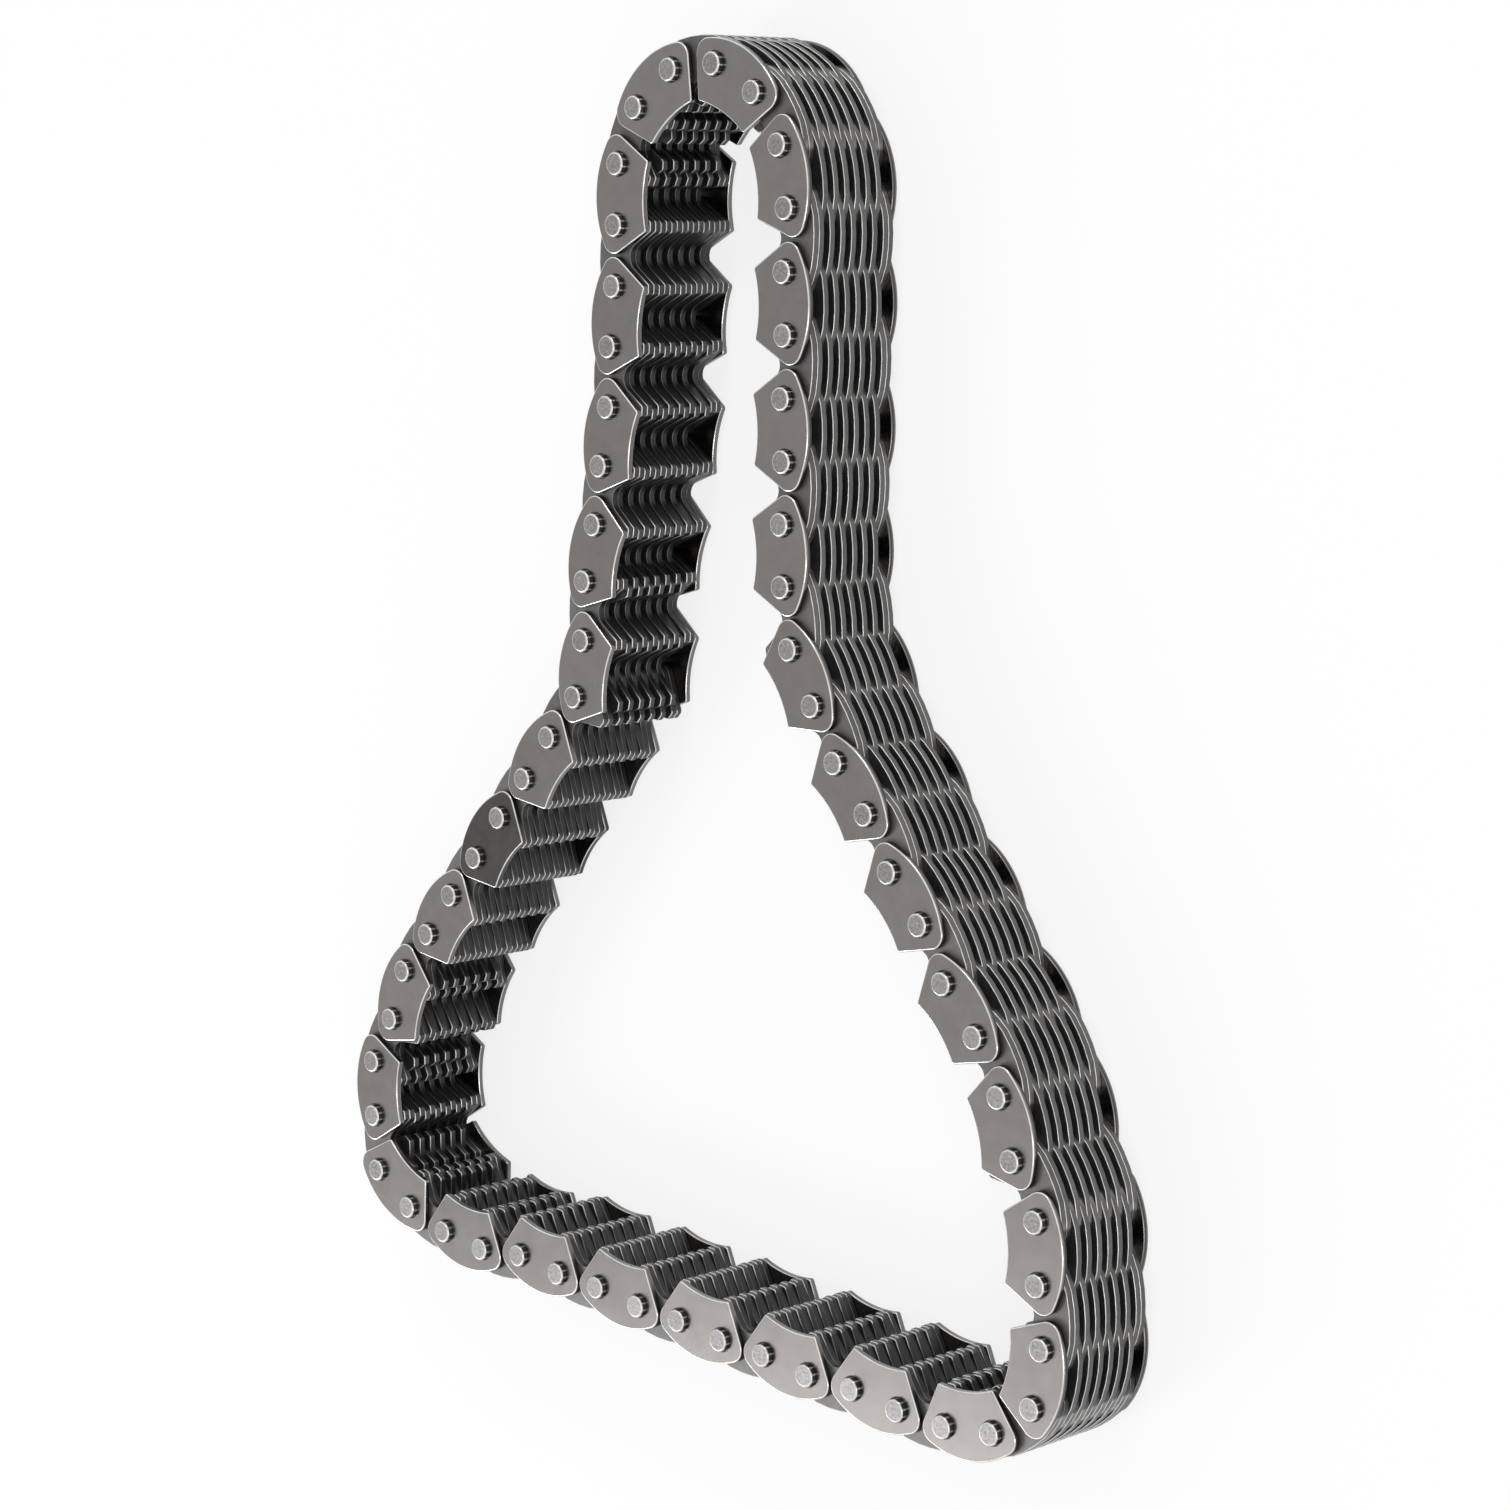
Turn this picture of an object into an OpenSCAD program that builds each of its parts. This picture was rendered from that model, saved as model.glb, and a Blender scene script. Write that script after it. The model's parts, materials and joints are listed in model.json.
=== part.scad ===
// Endless silent chain, the inverted tooth chain of a transfer case, bent into a flask-shaped loop.
// The loop lies on its lower pin heads: the pins stand along Z and the flask's neck points along +Y.
// Guide links and joint links take turns round the loop. A heading is the way that a link points,
// in degrees clockwise from +X, going clockwise round the loop, so the crown is 0 and the floor 180.

/* [Pitch and width] */
// distance between neighbouring pins
pitch = 9.525; // [6.35:0.005:12.7]
// thickness of a guide plate
guide_t = 1.02; // [0.8:0.01:1.5]
// thickness of a link plate
link_t = 1.13; // [0.8:0.01:1.5]
// side play between neighbouring plates
side_gap = 0.05; // [0.03:0.01:0.1]

/* [Pins] */
// diameter of a pin
pin_d = 3.8; // [3:0.1:4.2]
// how far a pin stands out of each guide plate
pin_stand = 1; // [0.5:0.1:2]
// chamfer round each end of a pin
pin_chamfer = 0.25; // [0.1:0.05:0.5]
// radial clearance of a pin in a joint link's plates
turn_gap = 0.05; // [0.03:0.01:0.1]
// radial gap of a pin in its own guide link's plates
seat_gap = 0.03; // [0.02:0.01:0.05]

/* [Plate outline] */
// height of a guide plate's back above the pin line
guide_back = 4.95; // [4.5:0.05:5.5]
// height of a link plate's back above the pin line
link_back = 4.75; // [4.5:0.05:5.5]
// radius of a guide plate's back, one long curve
back_r = 16.2; // [14:0.1:20]
// radius of a link plate's shoulders, either side of the flat of its back
shoulder_r = 12; // [10:0.5:14]
// how far a plate's end reaches past its pin
end_reach = 4.54; // [4:0.01:4.7]
// radius of a plate's rounded end
end_r = 2.48; // [2:0.01:3]
// slope of the working flanks, degrees off the pin line's square
flank = 30.5; // [28:0.5:33]
// depth of the toes below the pin line
toe_depth = 6.5; // [5.5:0.1:7]
// radius of a toe
toe_r = 0.52; // [0.3:0.01:0.8]
// height of a guide plate's hollow base above its toes
base_rise = 0.72; // [0.4:0.01:1]
// radius of a guide plate's hollow base
base_r = 15.6; // [12:0.1:20]
// depth of the crotch between a link plate's two teeth, below the pin line
crotch_depth = 2.9; // [2.6:0.1:3.5]
// radius of the crotch's arch
crotch_r = 3.5; // [3:0.1:3.8]
// slope of the crotch's sides, degrees off the pin line's square
crotch_slope = 36; // [33:1:40]

/* [Right side of the loop] */
// heading of the joint link on top of the crown
crown = -7; // [-15:1:15]
// heading of the guide link right of the crown
crown_right = 25; // [10:1:40]
// turn of the crown's and floor's trio of joint links from 60, 180 and 300 degrees
crown_lean = 7; // [0:1:10]
// heading of the right shoulder's guide link
shoulder = 78; // [60:1:90]
// heading of the neck's joint links, down the right side
neck = 90; // [85:1:95]
// heading of the neck's guide links on the right side
neck_right = 86; // [80:1:92]
// heading of the last joint link of the neck on the right
foot_right = 78; // [70:1:85]
// heading of the right waist's guide link
waist_right = 57; // [50:1:70]
// heading of the right flank's guide links
flank_right = 46; // [40:1:55]
// heading of the first guide link of the right hip
hip_right = 71; // [60:1:80]
// turn from one guide link of the right hip to the next
hip_step = 13.5; // [8:0.5:15]
// turn of the hips' and floor's trio of joint links from 60, 180 and 300 degrees
hip_lean = 2; // [0:1:10]
// heading of the joint link above the right heel
ankle = 82; // [75:1:90]
// heading of the joint link on the corner of the right heel
heel = 142; // [135:1:150]

/* [Floor and left side of the loop] */
// heading of the first guide link of the floor
heel_floor = 171; // [165:1:180]
// heading of the floor's plain joint links
floor_joint = 180; // [175:1:185]
// heading of the joint link before the left heel
toe_joint = 193; // [180:1:200]
// heading of the guide link on the corner of the left heel
heel_left = 210; // [200:1:220]
// heading of the guide link above the left heel
ankle_left = 267; // [255:1:275]
// heading of the left hip's guide link
hip_left = 289; // [280:1:300]
// heading of the left waist's guide link
waist_left = 279; // [270:1:290]
// heading of the neck's joint link beside the left waist
foot_left = 276; // [270:1:285]
// heading of the lowest guide link of the neck on the left side
neck_left = 282; // [270:1:290]
// turn from one guide link of the left side's neck to the next
neck_step = -4; // [-6:0.5:0]
// heading of the guide link left of the crown
crown_left = 321; // [310:1:335]

/* [Hidden] */
// which node is drawn
// links of each kind round the loop
pairs = 31;
// pins round the loop
pins = 2 * pairs;
// links of the two blocks that keep their shape, counted clockwise from the crown
heel_pair = 12;
// overlap that lets neighbouring curves cross at a slight angle
blend = 0.01;
// fineness of curves
$fn = 96;

// places of the plates across the width: G a guide plate, L its link plates, J a joint link's plates
layers = "GJJLJLJLJLJLJLJJG";
link_layers = len(layers) - 2;
width = 2 * guide_t + link_layers * (link_t + side_gap) + side_gap;
function layer_z(i) = pin_stand + (i == 0 ? 0 : guide_t + side_gap + (i - 1) * (link_t + side_gap));
function layers_of(kind) = [for (i = [0 : len(layers) - 1]) if (layers[i] == kind) i];

// a step of one unit along a heading, and the sum of the steps of a list of headings
function step(heading) = [cos(heading), -sin(heading)];
function total(list, i = 0) = i == len(list) ? [0, 0] : step(list[i]) + total(list, i + 1);
function repeat(value, n) = [for (i = [1 : n]) value];
function row(first, turn, n) = [for (i = [0 : n - 1]) first + i * turn];

// headings [a, b] of two straight runs, n and m links long, that together cover a given distance
function two_runs(cover, n, m) =
    let (d = norm(cover), mean = atan2(-cover.y, cover.x))
    [mean + acos((d * d + n * n - m * m) / (2 * d * n)), mean - acos((d * d + m * m - n * n) / (2 * d * m))];

// joint links that turn as one set go round and come back, so the flanks' headings close their set
floor_plain = 4;
flank_joints = 4;
sway_rest = concat([foot_right, foot_left, toe_joint], repeat(floor_joint, floor_plain));
flank_joint = two_runs(-total(sway_rest), flank_joints, flank_joints);
joint_heads = concat(
    [60 - crown_lean], repeat(neck, 3), [foot_right], repeat(flank_joint[0], flank_joints),
    [60 - hip_lean, ankle, heel, floor_joint, 180 - hip_lean], repeat(floor_joint, floor_plain - 1),
    [180 - crown_lean, toe_joint, ankle + 180, 300 - hip_lean], repeat(flank_joint[1], flank_joints),
    [neck + 180, foot_left, neck + 180, neck + 180, 300 - crown_lean, crown]);

// guide links never turn, and the floor's and left flank's headings close them with the two fixed joint links
floor_guides = 6;
flank_guides = 3;
right_heads = concat([crown_right, shoulder], repeat(neck_right, 3), [waist_right],
    repeat(flank_right, flank_guides), row(hip_right, hip_step, 3), [heel_floor]);
heel_heads = [heel_left, ankle_left, hip_left];
top_heads = concat([waist_left], row(neck_left, neck_step, 4), [crown_left]);
guide_close = two_runs(-total(concat(right_heads, heel_heads, top_heads, [crown, heel])), flank_guides, floor_guides);
guide_heads = concat(right_heads, repeat(guide_close[1], floor_guides), heel_heads,
    repeat(guide_close[0], flank_guides), top_heads);

// headings of all links in turn, and the pins' places with the first pin at zero
headings = [for (k = [0 : pairs - 1]) each [guide_heads[k], joint_heads[k]]];
trail = [for (i = 0, at = [0, 0]; i < pins; at = at + pitch * step(headings[i]), i = i + 1) at];

// centres of the rounded ends and toes of a plate with a given back
end_x = pitch / 2 + end_reach - end_r;
function end_y(back) = sqrt(pow(back_r - end_r + blend, 2) - end_x * end_x) - back_r + back;
toe_y = toe_r - toe_depth;
flank_out = [cos(flank), -sin(flank)];
function toe_x(back) = (flank_out * [end_x, end_y(back)] + end_r - toe_r - flank_out.y * toe_y) / flank_out.x;

// half the length of the flat on a link plate's back, whose shoulders run on into the rounded ends
flat_x = end_x - sqrt(pow(shoulder_r - end_r + blend, 2) - pow(end_y(link_back) - link_back + shoulder_r, 2));

// how far link i reaches in a direction, from its ends, toes and back, and the loop's middle from its four sides
function is_guide(i) = i % 2 == 0;
function middle(i) = (trail[i] + trail[(i + 1) % pins]) / 2;
function reach(i, way) =
    let (along = abs(way * step(headings[i])), out = way * step(headings[i] - 90),
        back = is_guide(i) ? guide_back : link_back,
        curve_x = is_guide(i) ? 0 : flat_x, curve_r = is_guide(i) ? back_r : shoulder_r,
        ends = end_x * along + end_y(back) * out + end_r,
        toes = toe_x(back) * along + toe_y * out + toe_r,
        on_back = atan2(along, out) < atan2(end_x - curve_x, end_y(back) + curve_r - back),
        crest = on_back ? curve_x * along + (back - curve_r) * out + curve_r : ends)
    middle(i) * way + max(ends, toes, crest);
function side(way) = max([for (i = [0 : pins - 1]) reach(i, way)]);
loop_middle = [side([1, 0]) - side([-1, 0]), side([0, 1]) - side([0, -1])] / 2;

// names of the links, and of those that move on their own
function two_digits(k) = str(k < 10 ? "0" : "", k);
function guide_name(k) = str("guide_link_", two_digits(k));
function joint_name(k) = str("joint_link_", two_digits(k));
loose_guides = [for (k = [2 : pairs - 1]) if (k != heel_pair && k != heel_pair + 1) k];
loose_joints = [for (k = [1 : pairs - 1]) if (k != heel_pair) k];

// outline that both kinds of plate share: a back that its children draw, rounded ends, straight flanks and toes
module blank(back) {
    end_c = [end_x, end_y(back)];
    toe_c = [toe_x(back), toe_y];
    heel_in = toe_r - blend;
    right = [end_c + [0, 2 * end_r], end_c, end_c + (end_r - blend) * flank_out,
        toe_c + heel_in * flank_out, toe_c - [0, heel_in], [toe_c.x - end_r, -toe_depth - toe_r]];
    left = [for (i = [len(right) - 1 : -1 : 0]) [-right[i].x, right[i].y]];
    intersection() {
        union() children();
        union() {
            polygon(concat(right, left));
            for (s = [-1, 1]) {
                translate([s * end_c.x, end_c.y]) circle(r = end_r);
                translate([s * toe_c.x, toe_c.y]) circle(r = toe_r);
            }
        }
    }
}

// two holes on the pin line
module holes(gap) {
    for (s = [-1, 1]) translate([s * pitch / 2, 0]) circle(r = pin_d / 2 + gap);
}

// outline of a guide plate, with a hollow base in place of teeth
module guide_outline() {
    difference() {
        blank(guide_back) translate([0, guide_back - back_r]) circle(r = back_r);
        translate([0, base_rise - toe_depth - base_r]) circle(r = base_r);
        holes(seat_gap);
    }
}

// outline of a link plate, with a crotch between its two teeth
module link_outline(gap) {
    crotch_y = -crotch_depth - crotch_r;
    side_x = (crotch_r - blend) * cos(crotch_slope);
    side_y = crotch_y + (crotch_r - blend) * sin(crotch_slope);
    open_y = -toe_depth - toe_r;
    open_x = side_x + (side_y - open_y) * tan(crotch_slope);
    difference() {
        blank(link_back) {
            for (s = [-1, 1]) translate([s * flat_x, link_back - shoulder_r]) circle(r = shoulder_r);
            translate([-flat_x, 0]) square([2 * flat_x, link_back - blend]);
        }
        translate([0, crotch_y]) circle(r = crotch_r);
        polygon([[-open_x, open_y], [-side_x, side_y], [side_x, side_y], [open_x, open_y]]);
        holes(gap);
    }
}

// moves its children from the middle of a link to link i of the loop
module at_link(i) {
    spot = middle(i) - loop_middle;
    translate([spot.x, spot.y, 0]) rotate([0, 0, -headings[i]]) children();
}

// pin with a chamfer round each end
module pin() {
    r = pin_d / 2;
    top = width + 2 * pin_stand;
    rotate_extrude() polygon([[0, 0], [r - pin_chamfer, 0], [r, pin_chamfer], [r, top - pin_chamfer],
        [r - pin_chamfer, top], [0, top]]);
}

// guide link k: two guide plates, the link plates between them and the two pins that they hold
module guide_link(k) {
    at_link(2 * k - 2) {
        color([0.53, 0.51, 0.5])
            for (i = layers_of("G")) translate([0, 0, layer_z(i)]) linear_extrude(guide_t) guide_outline();
        color([0.27, 0.26, 0.25])
            for (i = layers_of("L")) translate([0, 0, layer_z(i)]) linear_extrude(link_t) link_outline(seat_gap);
        color([0.68, 0.67, 0.66])
            for (s = [-1, 1]) translate([s * pitch / 2, 0, 0]) pin();
    }
}

// joint link k, after guide link k: link plates that turn on the pins of their neighbours
module joint_link(k) {
    at_link(2 * k - 1)
        color([0.3, 0.29, 0.28])
            for (i = layers_of("J")) translate([0, 0, layer_z(i)]) linear_extrude(link_t) link_outline(turn_gap);
}

// three links on top of the flask's neck, the part of the loop that the others move against
module crown_links() {
    guide_link(pairs);
    joint_link(pairs);
    guide_link(1);
}

// three links folded round the right heel
module heel_links() {
    guide_link(heel_pair);
    joint_link(heel_pair);
    guide_link(heel_pair + 1);
}

crown_links();
heel_links();
for (k = loose_guides) guide_link(k);
for (k = loose_joints) joint_link(k);
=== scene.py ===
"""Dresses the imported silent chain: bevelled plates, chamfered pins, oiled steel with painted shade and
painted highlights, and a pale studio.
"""

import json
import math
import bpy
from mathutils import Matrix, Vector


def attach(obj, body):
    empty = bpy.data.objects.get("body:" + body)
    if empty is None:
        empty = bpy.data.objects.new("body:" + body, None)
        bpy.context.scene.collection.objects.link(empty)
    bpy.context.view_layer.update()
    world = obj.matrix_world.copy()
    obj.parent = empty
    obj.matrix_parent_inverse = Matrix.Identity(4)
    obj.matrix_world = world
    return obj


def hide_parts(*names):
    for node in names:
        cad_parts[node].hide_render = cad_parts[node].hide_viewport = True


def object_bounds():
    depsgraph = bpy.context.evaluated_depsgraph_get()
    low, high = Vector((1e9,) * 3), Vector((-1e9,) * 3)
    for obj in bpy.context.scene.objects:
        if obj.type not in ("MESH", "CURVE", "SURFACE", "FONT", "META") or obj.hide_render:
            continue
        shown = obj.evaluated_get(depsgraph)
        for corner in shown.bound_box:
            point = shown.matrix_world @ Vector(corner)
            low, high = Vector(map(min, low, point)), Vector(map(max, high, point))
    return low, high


bl_info = {
    "name": "Silent chain",
    "version": (1, 0, 0),
    "blender": (4, 5, 0),
    "location": "View3D > Sidebar > Chain",
    "description": "Dresses a packed silent chain with bevelled plates, chamfered pins and oiled steel",
    "category": "Object",
}

import bpy
import numpy as np
from bpy.props import FloatProperty, FloatVectorProperty, IntProperty, PointerProperty
from mathutils import Matrix, Vector

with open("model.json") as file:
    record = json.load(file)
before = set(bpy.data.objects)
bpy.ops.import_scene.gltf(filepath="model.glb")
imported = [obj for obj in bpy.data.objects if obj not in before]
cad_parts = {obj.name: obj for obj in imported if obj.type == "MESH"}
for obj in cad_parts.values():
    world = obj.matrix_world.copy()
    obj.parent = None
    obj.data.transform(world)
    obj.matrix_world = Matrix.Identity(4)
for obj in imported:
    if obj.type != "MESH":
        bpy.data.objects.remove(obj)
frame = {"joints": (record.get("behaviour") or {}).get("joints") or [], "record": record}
cad_box = [list(map(float, corner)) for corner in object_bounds()]

# places of the plates across the width: G a guide plate, L its link plates, J a joint link's plates
LAYERS = "GJJLJLJLJLJLJLJJG"
PAIRS = 31
CROWN = "crown_links"
HEEL = "heel_links"
HEEL_PAIR = 12
# the loop is opened at this pin, which has no joint: the mount that the chain rests on lies below it
OPEN_PIN = 32

# soft cards of the studio: place, width, height and the stage's value for its power
CARDS = {"front_card": ((-0.73, -0.62, 0.58), 0.55, 0.28, "key_power"),
         "right_card": ((0.78, -0.2, 0.76), 0.2, 0.3, "edge_power"),
         "back_card": ((0.2, 0.9, 0.6), 0.3, 0.2, "edge_power")}
# how much wider a toe's worn bevel is; how strong the painted glint on the shoulders' walls is; and how far
# the toe walls and toe edges are kept clear of oil and painted shade, rubbed steel with a painted glint
TOE_WEAR = 0.5
SHOULDER_GLINT = 0.05
TOE_WALL_WEAR_GLINT = 0.5
TOE_EDGE_WEAR_GLINT = 0.95
# where the steady draws for the pieces' tones start, and how far apart those of two layers are
GUIDE_DRAW_STEP = 100
PLATE_DRAW_STEP = 40
JOINT_DRAW = 500
PIN_DRAW = 900
# lengths in metres
BUMP_HEIGHT = 0.00004
FLOOR_REACH = 4.0
FLOOR_DROP = 0.00002

pivots = {int(joint["name"][-2:]): np.array(joint["pos_m"][:2]) for joint in frame["joints"]}
open_spot = np.array(frame["record"]["mounts"][0]["pos_m"][:2])
PITCH = float(np.linalg.norm(pivots[3] - pivots[2]))
HEIGHT = float(cad_box[1][2] - cad_box[0][2])


def length(name, default, description):
    """Length property in metres."""
    return FloatProperty(name=name, description=description, default=default, min=0.0, precision=6,
                         subtype="DISTANCE", unit="LENGTH")


def angle(name, degrees, description):
    """Angle property, given in degrees."""
    return FloatProperty(name=name, description=description, default=math.radians(degrees),
                         subtype="ANGLE", unit="ROTATION")


def tint(name, default, description):
    """Colour property in linear light."""
    return FloatVectorProperty(name=name, description=description, default=default, size=3,
                               min=0.0, max=1.0, subtype="COLOR")


def share(name, default, description):
    """Property from 0 to 1."""
    return FloatProperty(name=name, description=description, default=default, min=0.0, max=1.0,
                         subtype="FACTOR")


class ChainSizes(bpy.types.PropertyGroup):
    """Sizes of the chain's plates and pins."""
    pitch: length("Pitch", PITCH, "Distance between neighbouring pins")
    guide_t: length("Guide thickness", 0.00102, "Thickness of a guide plate")
    link_t: length("Link thickness", 0.00113, "Thickness of a link plate")
    side_gap: length("Side play", 0.00005, "Gap between neighbouring plates")
    pin_r: length("Pin radius", 0.0019, "Radius of a pin")
    pin_stand: length("Pin stand", 0.001, "How far a pin stands out of each guide plate")
    pin_chamfer: length("Pin chamfer", 0.00027, "Chamfer round each end of a pin")
    turn_gap: length("Turning gap", 0.00005, "Radial clearance of a pin in a joint link's plates")
    seat_gap: length("Seat gap", 0.00003, "Radial gap of a pin in its own guide link's plates")
    guide_back: length("Guide back", 0.00495, "Height of a guide plate's back above the pin line")
    link_back: length("Link back", 0.00475, "Height of a link plate's back above the pin line")
    back_r: length("Back radius", 0.0162, "Radius of a guide plate's back, one long curve")
    shoulder_r: length("Shoulder radius", 0.012, "Radius of a link plate's shoulders beside its flat back")
    end_reach: length("End reach", 0.00454, "How far a plate's end reaches past its pin")
    end_r: length("End radius", 0.00248, "Radius of a plate's rounded end")
    flank: angle("Flank", 30.5, "Slope of the working flanks off the pin line's square")
    toe_depth: length("Toe depth", 0.0065, "Depth of the toes below the pin line")
    toe_r: length("Toe radius", 0.00052, "Radius of a toe's outer corner")
    tip_r: length("Tip radius", 0.00035, "Radius of a toe's inner corner on a link plate")
    base_rise: length("Base rise", 0.00072, "Height of a guide plate's hollow base above its toes")
    crotch_depth: length("Crotch depth", 0.00215, "Depth of the crotch between a link plate's two teeth")
    crotch_r: length("Crotch radius", 0.0022, "Radius of the crotch's arch")
    crotch_slope: angle("Crotch slope", 34.0, "Slope of the crotch's sides off the pin line's square")
    guide_bevel: length("Guide bevel", 0.00024, "Rounding of a guide plate's edges")
    link_bevel: length("Link bevel", 0.00012, "Rounding of a link plate's edges")
    wear_run: length("Toe wear", 0.0004, "How far the rubbed steel of a toe runs up its flank")
    pin_sides: IntProperty(name="Pin sides", default=10, min=3,
                           description="Flat sides of a pin's end where it stands out of the plates")
    # the dark ring round each pin is painted contact shade
    contact_shade_width: length("Soot width", 0.00025, "Width of the dark ring round each pin on a guide plate")
    toe_band: length("Toe band", 0.00045, "Height of the rubbed band along a link plate's toes")
    # a link plate's wall is darkened by oil and painted shade below the oil line
    oil_shade_line: length("Oil line", 0.00345, "Height above the pin line where a link plate's oil begins")
    oil_shade_fade: length("Oil fade", 0.0009, "Height over which that oil becomes full")
    # the shoulder's glint is a painted highlight
    glint_top: length("Glint top", 0.0013, "Drop below a link plate's back where a shoulder's glint begins")
    glint_low: length("Glint low", 0.0019, "Drop below a link plate's back where a shoulder's glint ends")
    # the darkening on a guide plate's edge is painted shade
    edge_shade_depth: length("Creep depth", 0.003, "Depth below the pin line where a guide edge's oil ends")
    crown: angle("Crown heading", -7.0, "Heading of the joint link on top of the crown, clockwise from +X")
    heel: angle("Heel heading", 142.0, "Heading of the joint link on the corner of the right heel")


class ChainFinish(bpy.types.PropertyGroup):
    """Colours and gloss of the chain's steel."""
    guide_tone: tint("Guide tone", (0.19, 0.178, 0.171), "Satin face of a guide plate")
    # worn steel with a painted highlight on a guide plate's rubbed edges
    guide_wear_sheen: tint("Guide edge", (0.85, 0.835, 0.825), "Rubbed edges of a guide plate")
    # painted shade round the pins, on the inner faces and over the edges of the guide plates
    guide_shade_tone: tint("Guide soot", (0.07, 0.066, 0.063), "Oil and soot round the pins")
    plate_tone: tint("Link tone", (0.125, 0.1215, 0.119), "Faces and backs of the link plates")
    # worn steel with a painted highlight on a link plate's rubbed edges
    plate_wear_sheen: tint("Link edge", (0.92, 0.91, 0.9), "Rubbed edges of the link plates")
    # oil and painted shade on the teeth and on the faces between the link plates
    plate_oil_shade_tone: tint("Link oil", (0.045, 0.0447, 0.0445), "Oiled steel of the teeth")
    pin_tone: tint("Pin tone", (0.238, 0.228, 0.226), "Sheared end face of a pin")
    # painted highlight on a pin's chamfer
    pin_chamfer_sheen: tint("Pin edge", (0.8, 0.79, 0.78), "Chamfer of a pin")
    pin_dark: tint("Pin side", (0.06, 0.058, 0.057), "Drawn side of a pin")
    guide_spread: share("Guide spread", 0.12, "How much the guide plates differ in tone")
    plate_spread: share("Link spread", 0.3, "How much the link plates differ in tone")
    pin_spread: share("Pin spread", 0.2, "How much the pins differ in tone")
    # painted shade: one guide link's faces are darkened, standing in for the shade on a plate that lies at
    # a tilt
    shaded_guide: IntProperty(name="Shaded guide link", default=24, min=0, max=PAIRS,
                            description="Number of the guide link whose face is darker")
    shade_depth: share("Dullness", 0.6, "How much darker that guide link's face is")
    # oil and painted shade on the link plates' faces between the plates
    inner_oil_shade: share("Inner oil", 0.55, "How oily the link plates' faces are inside the stack")
    outer_oil_shade: share("Outer oil", 0.15, "How oily the outermost link plates' outer faces are")
    # painted shade on the guide plates' inner faces
    guide_inner_shade: share("Guide oil", 0.3, "How oily the guide plates' inner faces are")


class ChainStage(bpy.types.PropertyGroup):
    """Camera, floor and light of the studio."""
    eye: FloatVectorProperty(name="Camera place", description="Where the camera stands", size=3,
                             default=(0.42843, 0.10094, 0.44861), precision=5, subtype="TRANSLATION",
                             unit="LENGTH")
    gaze: FloatVectorProperty(name="Camera gaze", description="Direction that the camera looks in", size=3,
                              default=(-0.68589, -0.17352, -0.70671), precision=5, subtype="DIRECTION")
    up: FloatVectorProperty(name="Camera up", description="Upward direction of the picture", size=3,
                            default=(-0.14554, 0.98424, -0.10042), precision=5, subtype="DIRECTION")
    lens: FloatProperty(name="Lens", description="Focal length on a 36 mm sensor", default=93.69, min=1.0,
                        subtype="DISTANCE_CAMERA", unit="CAMERA")
    floor_tone: tint("Floor", (0.95, 0.95, 0.95), "Pale floor")
    floor_lift: share("Floor lift", 0.8, "How far the floor is lifted towards white where it is background")
    fill: share("Fill", 0.74, "Strength of the even light from all round")
    key_power: FloatProperty(name="Key power", description="Power of the wide card in front", default=3.6,
                             min=0.0, subtype="POWER", unit="POWER")
    edge_power: FloatProperty(name="Edge power", description="Power of each narrow card for the edges",
                              default=1.6, min=0.0, subtype="POWER", unit="POWER")


def pin_places(sizes):
    """All 62 pins in plan, pin 1 first. A pivot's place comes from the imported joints. A block's two inner
    pins lie one pitch from its outer ones and one pitch apart along a known heading: the first is where
    two circles of one pitch cross, on the side away from the loop's middle."""
    spots = dict(pivots)
    spots[OPEN_PIN] = open_spot
    blocks = ((61, 62, 1, 2, sizes.crown), (23, 24, 25, 26, sizes.heel))
    for before, first, second, after, heading in blocks:
        stride = sizes.pitch * np.array([math.cos(heading), -math.sin(heading)])
        near = spots[before]
        far = spots[after] - stride
        half = (far - near) / 2
        across = np.array([-half[1], half[0]]) / np.linalg.norm(half)
        lift = math.sqrt(sizes.pitch ** 2 - half @ half)
        both = np.stack([near + half + lift * across, near + half - lift * across])
        spots[first] = both[np.argmax(np.linalg.norm(both, axis=1))]
        spots[second] = spots[first] + stride
    return np.array([spots[n] for n in range(1, 2 * PAIRS + 1)])


def link_frame(spots, first):
    """Middle of the link between pin number first and the next, and its turn: rows along the link,
    outward, up."""
    start = spots[first - 1]
    end = spots[first % (2 * PAIRS)]
    along = (end - start) / np.linalg.norm(end - start)
    turn = np.array([[along[0], along[1], 0.0], [-along[1], along[0], 0.0], [0.0, 0.0, 1.0]])
    return (start + end) / 2, turn


def layer_heights(sizes, kind):
    """Heights of the lower faces of the plates of one kind: the lowest guide plate lies on the pins'
    stand, and the layers over it are one link plate's thickness and one gap apart."""
    layer = np.array([i for i, letter in enumerate(LAYERS) if letter == kind])
    over = sizes.guide_t + sizes.side_gap + (layer - 1) * (sizes.link_t + sizes.side_gap)
    return sizes.pin_stand + np.where(layer == 0, 0.0, over)


def arcs(rows):
    """Outline made of arcs. Each row gives a centre, a radius, the angles of the outward normal at both
    ends, how many chords it has, and whether its last point is kept: a point is the centre plus radius
    times normal, and a hollow arc has a negative radius. Returns the points and their outward normals."""
    points = []
    ways = []
    for x, y, radius, first, last, chords, keep in rows:
        bearing = np.radians(first + (last - first) * np.arange(chords + keep) / chords)
        way = np.stack([np.cos(bearing), np.sin(bearing)], axis=1)
        points.append(np.array([x, y]) + radius * way)
        ways.append(way)
    return np.concatenate(points), np.concatenate(ways)


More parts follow.
